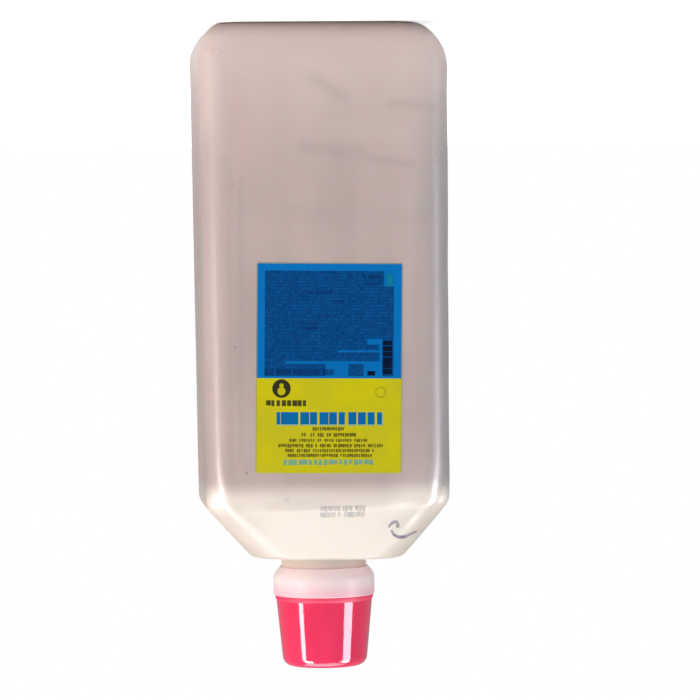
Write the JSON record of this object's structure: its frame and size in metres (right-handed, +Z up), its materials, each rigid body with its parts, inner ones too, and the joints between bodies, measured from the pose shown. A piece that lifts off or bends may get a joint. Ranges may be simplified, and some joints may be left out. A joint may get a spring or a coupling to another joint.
{
  "type": "hand soap refill pack",
  "caption": "Soft rounded-box bottle of hand cleaner for a wall dispenser, with a sloped shoulder, short neck, translucent collar, pull-off tapered cap and a printed front label.",
  "frame": {"origin": "centre of the flat base, in the plane that the pack stands on", "axes": "+Z up along the neck's axis towards the cap, +X to the right seen from the label side, -Y the way the label faces"},
  "size_m": [0.1154, 0.0852, 0.2984],
  "materials": {
    "bottle_plastic": "milky soft polyethylene over beige hand cleaner, satin, slightly wavy",
    "label_film": "printed film label, blue field over a yellow field, with bars for print",
    "seal_foam": "white soft closed-cell sealing washer",
    "valve_silicone": "milky silicone, satin",
    "collar_plastic": "translucent natural moulded plastic, smooth",
    "cap_plastic": "pinkish red moulded plastic, glossy"
  },
  "bodies": {
    "bottle_body": {"bottle": "bottle_plastic", "front_label": "label_film", "neck_seal": "seal_foam", "outlet_valve": "valve_silicone", "collar": "collar_plastic"},
    "cap_body": {"cap": "cap_plastic"}
  },
  "joints": [
    {"name": "cap_pull", "type": "slide", "parent": "bottle_body", "child": "cap_body", "axis": [0, 0, 1], "range_m": [0, 0.045]}
  ]
}
